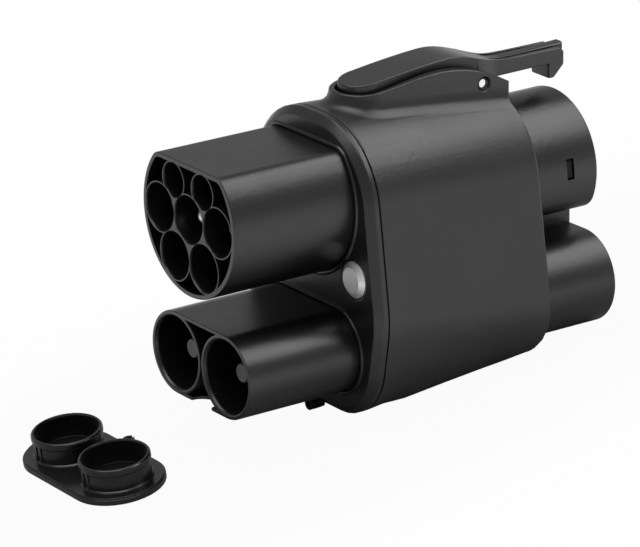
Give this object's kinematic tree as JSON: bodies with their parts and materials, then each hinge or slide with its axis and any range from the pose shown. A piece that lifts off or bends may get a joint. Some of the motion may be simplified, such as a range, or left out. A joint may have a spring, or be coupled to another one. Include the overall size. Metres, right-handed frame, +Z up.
{
  "type": "ev charging adapter",
  "caption": "Hand-held adapter that joins a charging plug to a car's inlet: twin front sockets, waisted housing, rear plug with latch lever, loose dust cap.",
  "frame": {"origin": "on the table, under the middle of the adapter and its loose cap taken together", "axes": "+Y runs along the adapter from the front sockets to the rear plug, +X across it towards the push button, +Z up from the table; the adapter's own axis points about 9 degrees nose up because it rests on its sloping belly"},
  "size_m": [0.0836, 0.196, 0.1013],
  "materials": {
    "housing_plastic": "fine-grained moulded plastic with a soft sheen",
    "socket_plastic": "smooth dark moulded plastic",
    "carrier_plastic": "plain dark plastic",
    "lever_plastic": "moulded plastic, satin on its top",
    "cap_rubber": "soft matt rubber",
    "seal_rubber": "matt rubber",
    "nose_plastic": "mid-grey plastic",
    "copper_bar": "bare copper",
    "board_laminate": "lacquered laminate",
    "steel_small": "zinc-plated steel",
    "pivot_steel": "polished steel",
    "button_metal": "spun metal face with fine circular lines",
    "plated_contact": "silver-plated contact metal"
  },
  "bodies": {
    "adapter": {"main_housing": "housing_plastic", "front_cover": "socket_plastic", "cover_seal": "seal_rubber", "ac_socket": "socket_plastic", "dc_socket": "socket_plastic", "earth_pin": "plated_contact", "line_pin": "plated_contact", "neutral_pin": "plated_contact", "pilot_pin": "plated_contact", "proximity_pin": "plated_contact", "line_pin_nose": "nose_plastic", "neutral_pin_nose": "nose_plastic", "dc_plus_pin": "plated_contact", "dc_minus_pin": "plated_contact", "dc_plus_nose": "nose_plastic", "dc_minus_nose": "nose_plastic", "flange_screws": "steel_small", "link_board": "board_laminate", "board_screws": "steel_small", "rear_plug_shell": "housing_plastic", "rear_ac_carrier": "carrier_plastic", "rear_dc_carrier": "carrier_plastic", "rear_power_contacts": "plated_contact", "rear_signal_contacts": "plated_contact", "dc_plus_contact": "plated_contact", "dc_minus_contact": "plated_contact", "dc_plus_bar": "copper_bar", "dc_minus_bar": "copper_bar", "rear_screws": "steel_small", "pivot_pin": "pivot_steel", "latch_spring": "steel_small", "button_switch": "carrier_plastic", "button_spring": "steel_small", "dust_cap": "cap_rubber"},
    "lever": {"latch_lever": "lever_plastic"},
    "button": {"push_button": "button_metal"}
  },
  "joints": [
    {"name": "latch_hinge", "type": "hinge", "parent": "adapter", "child": "lever", "pos_m": [0.00585, 0.05809, 0.08898], "axis": [1, 0, 0], "range_deg": [0, 3.6], "stiffness_Nm_per_rad": 0.9, "springref_deg": -3.44, "deforming": ["latch_spring"]},
    {"name": "button_press", "type": "slide", "parent": "adapter", "child": "button", "axis": [0, 0.9894, -0.1452], "range_m": [0, 0.0012], "stiffness_N_per_m": 600, "springref_m": -0.001, "deforming": ["button_spring"]}
  ]
}
